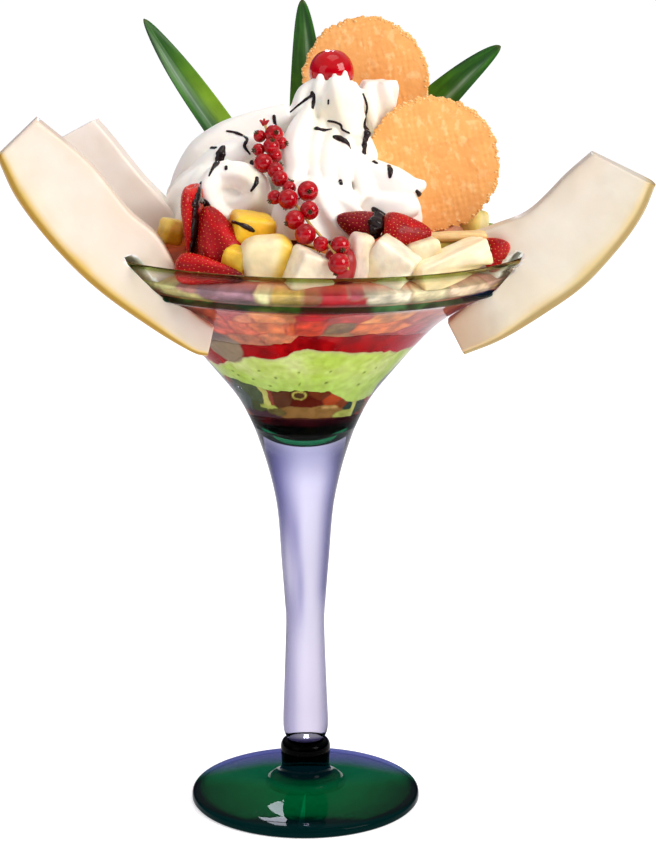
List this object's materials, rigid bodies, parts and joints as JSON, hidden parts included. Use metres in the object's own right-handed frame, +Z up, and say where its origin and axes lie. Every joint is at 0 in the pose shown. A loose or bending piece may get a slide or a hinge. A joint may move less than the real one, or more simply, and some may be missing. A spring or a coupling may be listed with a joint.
{
  "type": "mixed fruit cup",
  "caption": "Tall stemmed glass with layers of chocolate, fruit and lime cream, heaped with cut fruit, whipped cream, wafers, leaves and melon wedges over its rim",
  "frame": {"origin": "centre of the foot's flat underside, on the glass's axis", "axes": "+Z up the stem, -Y to the side the picture shows, +X to its right"},
  "size_m": [0.2635, 0.1974, 0.3481],
  "materials": {
    "green_glass": "polished, dark emerald",
    "clear_glass": "polished, clear with a lilac tint in the stem and green threads",
    "chocolate": "wet dark chocolate sauce",
    "mixed_fruit": "moist cut fruit in syrup",
    "lime_cream": "smooth pale green cream with dark specks",
    "red_sauce": "glossy red fruit sauce",
    "melon": "moist pale melon flesh with a thin yellow rind",
    "whipped_cream": "soft white cream with dark chocolate runs",
    "cherry": "glossy red glaze",
    "wafer": "dry golden wafer",
    "leaf": "waxy green leaf",
    "strawberry": "glossy red berry skin with pale seeds",
    "yellow_fruit": "moist yellow fruit flesh",
    "pale_fruit": "moist pale fruit flesh",
    "olive_fruit": "moist yellow green fruit flesh",
    "plum": "dark red fruit flesh",
    "currant": "glossy translucent red berries"
  },
  "bodies": {
    "root": {"glass_foot": "green_glass", "glass_bowl": "clear_glass", "chocolate_pool": "chocolate", "base_fruit": "mixed_fruit", "lime_cream": "lime_cream", "red_sauce": "red_sauce", "melon_front_left": "melon", "melon_back_left": "melon", "melon_right": "melon", "fruit_salad": "mixed_fruit", "cherry": "cherry", "cream": "whipped_cream", "wafer_front": "wafer", "wafer_back": "wafer", "leaf_left": "leaf", "leaf_centre": "leaf", "leaf_right": "leaf", "strawberry_slice": "strawberry", "strawberry_left": "strawberry", "strawberry_rim": "strawberry", "strawberry_dull": "strawberry", "strawberry_bright": "strawberry", "strawberry_right": "strawberry", "strawberry_back": "strawberry", "strawberry_back_right": "strawberry", "yellow_chunk": "yellow_fruit", "yellow_low": "yellow_fruit", "yellow_small": "yellow_fruit", "yellow_back": "yellow_fruit", "yellow_back_left": "yellow_fruit", "pear_chunk": "pale_fruit", "banana_cube": "pale_fruit", "pear_piece": "pale_fruit", "melon_cube": "pale_fruit", "pear_behind": "pale_fruit", "melon_stick": "pale_fruit", "pear_back": "pale_fruit", "pear_left": "pale_fruit", "pineapple_chunk": "olive_fruit", "pineapple_back": "olive_fruit", "plum_piece": "plum", "wafer_strip": "wafer", "currant_sprig": "currant"}
  },
  "joints": []
}
